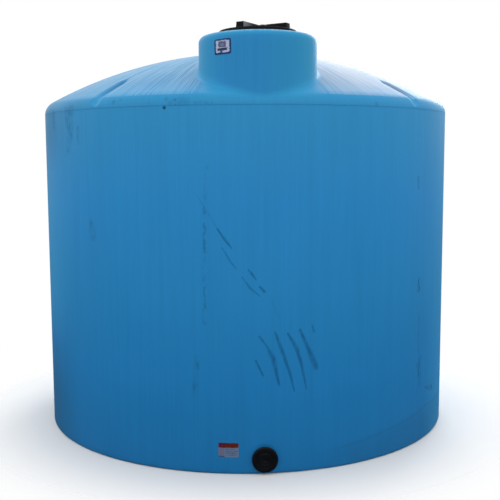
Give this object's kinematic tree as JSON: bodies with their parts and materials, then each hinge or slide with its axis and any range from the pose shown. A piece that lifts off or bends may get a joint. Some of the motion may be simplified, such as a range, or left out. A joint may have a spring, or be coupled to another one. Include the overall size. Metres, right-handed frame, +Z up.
{
  "type": "vertical storage tank",
  "caption": "Upright round plastic water tank with a flat floor, domed top, front fill neck under a screw lid, cable grooves on the shoulder and a plugged low outlet.",
  "frame": {"origin": "on the tank's vertical axis, at ground level, on the flat face the tank stands on", "axes": "+Z up; the fill neck and the outlet face -Y; +X is to the right of someone who faces them"},
  "size_m": [2.4092, 2.4288, 2.2346],
  "materials": {
    "blue_polyethylene": "moulded satin plastic, weathered, with dust, streaks and scratches",
    "black_plastic": "moulded satin plastic",
    "black_rubber": "matt",
    "label_film": "printed film, faded"
  },
  "bodies": {
    "tank": {"tank_floor": "blue_polyethylene", "wall_front": "blue_polyethylene", "wall_front_right": "blue_polyethylene", "wall_right": "blue_polyethylene", "wall_rear_right": "blue_polyethylene", "wall_rear": "blue_polyethylene", "wall_rear_left": "blue_polyethylene", "wall_left": "blue_polyethylene", "wall_front_left": "blue_polyethylene", "dome_front": "blue_polyethylene", "dome_front_right": "blue_polyethylene", "dome_right": "blue_polyethylene", "dome_rear_right": "blue_polyethylene", "dome_rear": "blue_polyethylene", "dome_rear_left": "blue_polyethylene", "dome_left": "blue_polyethylene", "dome_front_left": "blue_polyethylene", "dome_crown": "blue_polyethylene", "neck_wall_front": "blue_polyethylene", "neck_wall_right": "blue_polyethylene", "neck_wall_rear": "blue_polyethylene", "neck_wall_left": "blue_polyethylene", "neck_top_front": "blue_polyethylene", "neck_top_right": "blue_polyethylene", "neck_top_rear": "blue_polyethylene", "neck_top_left": "blue_polyethylene", "lid_ring": "black_plastic", "lid_gasket": "black_rubber", "outlet_gasket": "black_rubber", "outlet_body": "black_plastic", "outlet_nut": "black_plastic", "outlet_plug": "black_plastic"},
    "screw_lid": {"lid": "black_plastic", "lid_grip": "black_plastic", "lid_vent": "black_plastic"}
  },
  "joints": [
    {"name": "lid_lift", "type": "slide", "parent": "tank", "child": "screw_lid", "axis": [0, 0, 1], "range_m": [0, 0.1]}
  ]
}
